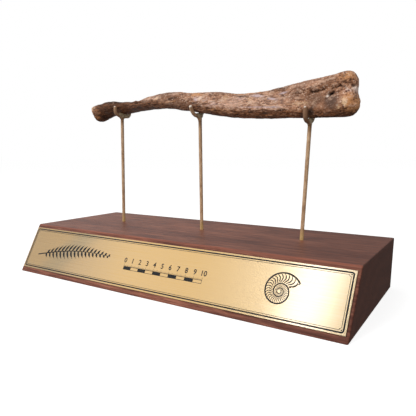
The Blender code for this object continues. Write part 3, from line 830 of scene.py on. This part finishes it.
def add_tube(shape, path, radii, dome):
    """A round rod along a line, in millimetres, its far end domed."""
    path = [Vector(point) for point in path]
    heading = (path[-1] - path[-2]).normalized()
    spots = list(zip(path, radii))
    for turn in (25, 50, 72) if dome else ():
        ahead = radii[-1] * math.sin(math.radians(turn)) * 0.8
        spots.append((path[-1] + heading * ahead, radii[-1] * math.cos(math.radians(turn))))
    side = Vector((1, 0, 0))
    loops = []
    for i, (point, size) in enumerate(spots):
        forward = (spots[min(i + 1, len(spots) - 1)][0] - spots[max(i - 1, 0)][0]).normalized()
        side = (side - forward * side.dot(forward)).normalized()
        other = forward.cross(side)
        angles = [2 * math.pi * k / ROD_SIDES for k in range(ROD_SIDES)]
        ring = [(point + (side * math.cos(a) + other * math.sin(a)) * size) * MM for a in angles]
        loops.append([shape.verts.new(place) for place in ring])
    for near, far in zip(loops, loops[1:]):
        for i in range(ROD_SIDES):
            j = (i + 1) % ROD_SIDES
            shape.faces.new((near[i], near[j], far[j], far[i]))
    shape.faces.new(loops[0][::-1])
    shape.faces.new(loops[-1])


def add_web(shape, across, lump):
    """A rounded lump of solder, in millimetres."""
    y, z, reach_y, reach_z = lump
    made = bmesh.ops.create_icosphere(shape, subdivisions=4, radius=1)["verts"]
    for vertex in made:
        vertex.co = [math.copysign(abs(value) ** WEB_ROUNDNESS, value) for value in vertex.co]
    stretch = Matrix.Diagonal((WEB_HALF_BREADTH, reach_y, reach_z, 1))
    bmesh.ops.transform(shape, matrix=Matrix.Scale(MM, 4) @ Matrix.Translation((across, y, z)) @ stretch, verts=made)


def build_armature(node, armature, finish):
    """A brass rod with its finger and prong, joined by solder."""
    joint = Vector(armature["joint"])
    foot = Vector((*armature["foot"], BASE_HEIGHT))
    slope = (joint - foot) / (joint.z - foot.z)
    bottom = foot - slope * ROD_BURIED
    across = joint.x
    limbs = []
    for limb in ("finger", "prong"):
        limbs.append(smooth_line([joint] + [(across, y, z) for y, z in armature[limb]], ROD_STEP))
    finger, prong = limbs
    shape = bmesh.new()
    swelling = np.linspace(ROD_RADIUS, armature["finger_radius"], len(finger))
    shaft = [bottom + (joint - bottom) * share for share in np.linspace(0, 0.97, 30)]
    add_tube(shape, [*shaft, *finger], [ROD_RADIUS] * len(shaft) + list(swelling), True)
    add_tube(shape, prong, [ROD_RADIUS] * len(prong), True)
    for lump in armature["webs"]:
        add_web(shape, across, lump)
    bmesh.ops.recalc_face_normals(shape, faces=shape.faces[:])
    rod = shape_object(node + "_brass", shape, finish)
    even_faces(rod, ROD_FACE, ROD_SOFTENING)
    rod.data.materials.clear()
    rod.data.materials.append(finish)
    points = read_points(rod)
    normals = read_points(rod, "normal")
    solder = np.zeros(len(points))
    for y, z, reach_y, reach_z in armature["webs"]:
        away = ((points[:, 1] - y) / (reach_y + 0.8)) ** 2 + ((points[:, 2] - z) / (reach_z + 0.8)) ** 2
        solder = np.maximum(solder, 1 - smooth_step(away, 0.6, 1.3))
    lumps = unevenness(points, (1.6, 1.6, 1.6), 9.0) * 0.16 + unevenness(points, (0.8, 0.8, 0.8), 2.0) * 0.08
    write_points(rod, points + normals * (np.minimum(lumps, 0.05) * solder)[:, None])
    away = np.linalg.norm(points - finger[-1] - (0, -1.2, 0.9), axis=1)
    paint(rod, "solder", solder)
    paint(rod, "brown", armature["finger_brown"] * smooth_step(joint.y - points[:, 1], 4, 8))
    # Browner band on the rod just under the joint
    below = joint.z + 2 - points[:, 2]
    paint(rod, "scorch", smooth_step(below, -1, 2) * (1 - smooth_step(below, 3, 12)) * 0.8)
    # Polished finger tip with a painted highlight
    paint(rod, "tip", 1 - smooth_step(away, 0.5 * armature["bright_tip"], armature["bright_tip"]))
    rod.data.shade_smooth()
    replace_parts(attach(rod, "root"), node)


def plate_place(across, up, lift=INLAY_LIFT):
    """A point of the plate's face, in metres, from its place on the plate in millimetres."""
    lean = math.atan2(FRONT_SETBACK, BASE_HEIGHT)
    slope = Vector((0, math.sin(lean), math.cos(lean)))
    out = Vector((0, -math.cos(lean), math.sin(lean)))
    foot = Vector((0, FRONT_FOOT, 0))
    return (foot + Vector((across, 0, 0)) + slope * (PLATE_RISE + up) + out * (PLATE_LIFT + lift)) * MM


def add_stroke(shape, points, breadth, closed=False):
    """A flat line of even or changing breadth on the plate, in millimetres."""
    count = len(points)
    breadths = breadth if hasattr(breadth, "__len__") else [breadth] * count
    pairs = []
    for i, (u, v) in enumerate(points):
        before = points[(i - 1) % count] if closed or i else points[i]
        after = points[(i + 1) % count] if closed or i < count - 1 else points[i]
        run = Vector((after[0] - before[0], after[1] - before[1])).normalized()
        off = Vector((-run.y, run.x)) * breadths[i] / 2
        pairs.append([shape.verts.new(plate_place(u + s * off.x, v + s * off.y)) for s in (1, -1)])
    rows = pairs + [pairs[0]] if closed else pairs
    for near, far in zip(rows, rows[1:]):
        shape.faces.new((near[0], near[1], far[1], far[0]))


def frame_outline(inset, corner, hollow):
    """A closed line round the plate, its corners rounded outwards or hollowed."""
    half_u, half_v = PLATE_HALF[0] - inset, PLATE_HALF[1] - inset
    points = []
    for quarter, (sign_u, sign_v) in enumerate(((1, 1), (-1, 1), (-1, -1), (1, -1))):
        for step in range(9):
            turn = math.radians(90 * quarter + step * 90 / 8)
            if hollow:
                turn = math.radians(90 * quarter + 270 - step * 90 / 8)
                centre = (sign_u * half_u, sign_v * half_v)
            else:
                centre = (sign_u * (half_u - corner), sign_v * (half_v - corner))
            points.append((centre[0] + corner * math.cos(turn), centre[1] + corner * math.sin(turn)))
    return points


def add_dot(shape, u, v, radius):
    ring = [2 * math.pi * i / 16 for i in range(16)]
    shape.faces.new([shape.verts.new(plate_place(u + radius * math.cos(a), v + radius * math.sin(a))) for a in ring])


def build_engraving(finish):
    """Border, corner dots, a fern frond, a centimetre rule and a coiled shell on the plate."""
    border = bmesh.new()
    add_stroke(border, frame_outline(2.3, 1.8, False), 1.3, True)
    add_stroke(border, frame_outline(4.1, 1.7, True), 0.42, True)
    for sign_u in (-1, 1):
        for sign_v in (-1, 1):
            add_dot(border, sign_u * (PLATE_HALF[0] - 4.0), sign_v * (PLATE_HALF[1] - 4.0), 0.6)
    keep_engraving("plate_border", border, finish)
    keep_engraving("plate_frond", fern_frond((-181, -8), (-62, 2), 17), finish)
    keep_engraving("plate_rule", centimetre_rule(-38, 10, -7), finish)
    keep_engraving("plate_shell", coiled_shell((140, -1), 19), finish)


def keep_engraving(name, shape, finish):
    bmesh.ops.recalc_face_normals(shape, faces=shape.faces[:])
    item = shape_object(name, shape, finish)
    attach(item, "root")


def fern_frond(start, end, reach):
    """A bent stem with leaflets that shrink towards its tip."""
    shape = bmesh.new()
    stem = []
    for i in range(61):
        t = i / 60
        rise = 6 * math.sin(math.pi * t * 0.9)
        stem.append((start[0] + (end[0] - start[0]) * t, start[1] + (end[1] - start[1]) * t + rise))
    add_stroke(shape, stem, [1.5 - 1.1 * i / 60 for i in range(61)])
    for i in range(7, 59, 3):
        size = reach * math.sin(math.pi * min(1, (i + 2) / 34) / 2) * (1 - i / 64) ** 0.75
        for side in (-1, 1):
            root = stem[i + (side > 0)]
            leaf = []
            for k in range(9):
                t = k / 8
                leaf.append((root[0] + size * 0.5 * t ** 1.6, root[1] + side * size * 0.8 * t))
            add_stroke(shape, leaf, [0.5 + 2.3 * math.sin(math.pi * min(1, k / 8 + 0.12)) ** 0.8 for k in range(9)])
    return shape


def centimetre_rule(left, length, height):
    """A true-size centimetre rule, black and clear by turns, with plain numbers."""
    shape = bmesh.new()
    right = left + 10 * length
    for level in (height, height + 3.2):
        add_stroke(shape, [(left, level), (right, level)], 0.45)
    for i in range(length + 1):
        add_stroke(shape, [(left + 10 * i, height - 0.17), (left + 10 * i, height + 3.37)], 0.35)
    for i in range(0, length, 2):
        add_stroke(shape, [(left + 10 * i, height + 1.6), (left + 10 * i + 10, height + 1.6)], 3.2)
    for i in range(10 * length + 1):
        tall = 2.6 if i % 10 == 0 else 1.8 if i % 5 == 0 else 1.1
        add_stroke(shape, [(left + i, height + 3.4), (left + i, height + 3.4 + tall)], 0.26)
    for i in range(length + 1):
        add_number(shape, str(i), (left + 10 * i, height + 7.6), 7.4)
    return shape


def add_number(shape, digits, place, size):
    """Plain numerals on the plate, centred on a place."""
    curve = bpy.data.curves.new("numeral", "FONT")
    curve.body = digits
    curve.size = size
    curve.align_x = "CENTER"
    curve.resolution_u = 3
    curve.offset = 0.018 * size
    item = link_object("numeral", curve)
    bpy.context.view_layer.update()
    mesh = bpy.data.meshes.new_from_object(item.evaluated_get(bpy.context.evaluated_depsgraph_get()))
    bpy.data.objects.remove(item)
    for vertex in mesh.vertices:
        vertex.co = plate_place(place[0] + vertex.co.x, place[1] + vertex.co.y)
    shape.from_mesh(mesh)
    bpy.data.meshes.remove(mesh)


def coiled_shell(centre, radius):
    """A coiled shell in line: spiral, keel and ribs."""
    shape = bmesh.new()
    turns = 3.1
    shrink = 0.42

    def whorl(angle, share=1.0):
        size = radius * shrink ** (angle / (2 * math.pi)) * share
        return (centre[0] + size * math.cos(angle + 0.5), centre[1] + size * math.sin(angle + 0.5))

    steps = [turns * 2 * math.pi * i / 160 for i in range(161)]
    add_stroke(shape, [whorl(a) for a in steps], [1.5 * (1 - 0.6 * i / 160) for i in range(161)])
    angle = 0.12
    while angle < 2 * math.pi * 2.3:
        size = radius * shrink ** (angle / (2 * math.pi))
        outer, inner = 0.95, shrink + 0.06
        rib = []
        for k in range(7):
            share = inner + (outer - inner) * k / 6
            rib.append(whorl(angle - 0.16 * math.sin(math.pi * k / 6), share))
        add_stroke(shape, rib, [size * 0.02 + size * 0.045 * math.sin(math.pi * (k + 0.5) / 7) for k in range(7)])
        angle += 0.21
    mouth = [whorl(0, 0.42 + 0.58 * k / 8) for k in range(9)]
    add_stroke(shape, mouth, 0.7)
    return shape


def show_to_camera_only(item):
    item.visible_diffuse = False
    item.visible_glossy = False
    item.visible_transmission = False
    item.visible_volume_scatter = False
    item.visible_shadow = False
    item.data.materials[0].cycles.emission_sampling = "NONE"


def build_stage():
    """Floor, backdrop, and soft light from the front, the left and the sky."""
    shape = bmesh.new()
    bmesh.ops.create_circle(shape, cap_ends=True, segments=64, radius=STAGE_RADIUS)
    floor = shape_object("floor", shape, floor_finish())
    floor.location.z = -0.2 * MM
    shape = bmesh.new()
    bmesh.ops.create_icosphere(shape, subdivisions=4, radius=STAGE_RADIUS)
    backdrop = shape_object("backdrop", shape, backdrop_finish())
    for item in (floor, backdrop):
        show_to_camera_only(item)
    sky = Finish(bpy.data.worlds.new("studio"), "Background", {"Strength": 1.0})
    split = sky.tree.nodes.new("ShaderNodeSeparateXYZ")
    sky.set(split, {0: sky.add("ShaderNodeTexCoord", {}, {}, "Generated")})
    x, y, z = [Level(sky, output) for output in split.outputs]
    glow = SKY_FLOOR + z.over(-0.15, 0.45) * (SKY_HIGH - SKY_FLOOR) + (0.0 - x).over(0.2, 1.0) * SKY_LEFT
    sky.set(sky.shader, {"Color": sky.mix(glow, (0, 0, 0, 1), (1, 1, 1, 1))})
    bpy.context.scene.world = sky.owner
    for name, place, aim, size, power, gleams in LAMPS:
        lamp = bpy.data.lights.new(name, "AREA")
        lamp.shape = "RECTANGLE"
        lamp.size, lamp.size_y = size
        lamp.energy = power
        item = bpy.data.objects.new(name, lamp)
        bpy.context.scene.collection.objects.link(item)
        item.location = place
        item.visible_glossy = gleams
        item.rotation_mode = "QUATERNION"
        item.rotation_quaternion = (Vector(aim) - Vector(place)).to_track_quat("-Z", "Y")


def build_camera():
    yaw, pitch, roll = (math.radians(angle) for angle in (CAMERA_YAW, CAMERA_PITCH, CAMERA_ROLL))
    ahead = Vector((-math.sin(yaw) * math.cos(pitch), math.cos(yaw) * math.cos(pitch), -math.sin(pitch)))
    level = Vector((math.cos(yaw), math.sin(yaw), 0))
    upright = level.cross(ahead)
    right = level * math.cos(roll) + upright * math.sin(roll)
    up = upright * math.cos(roll) - level * math.sin(roll)
    lens = bpy.data.cameras.new("camera")
    lens.sensor_width = 36
    lens.lens = FOCAL_PIXELS / PICTURE * 36
    lens.shift_x = (PICTURE / 2 - CENTRE_PIXEL[0]) / PICTURE
    lens.shift_y = (CENTRE_PIXEL[1] - PICTURE / 2) / PICTURE
    lens.clip_start = 0.01
    camera = bpy.data.objects.new("camera", lens)
    bpy.context.scene.collection.objects.link(camera)
    turn = Matrix((right, up, -ahead)).transposed().to_4x4()
    camera.matrix_world = Matrix.Translation(CAMERA_PLACE) @ turn
    bpy.context.scene.camera = camera


def main():
    bpy.context.scene.view_settings.view_transform = "Standard"
    build_camera()
    build_stage()
    build_bone(fossil_finish())
    brass = rod_finish()
    for node, armature in ARMATURES.items():
        build_armature(node, armature, brass)
    for node, finish in (("base", walnut_finish()), ("plaque", plate_finish())):
        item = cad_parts[node]
        item.data.materials.clear()
        item.data.materials.append(finish)
    build_engraving(ink_finish())


main()
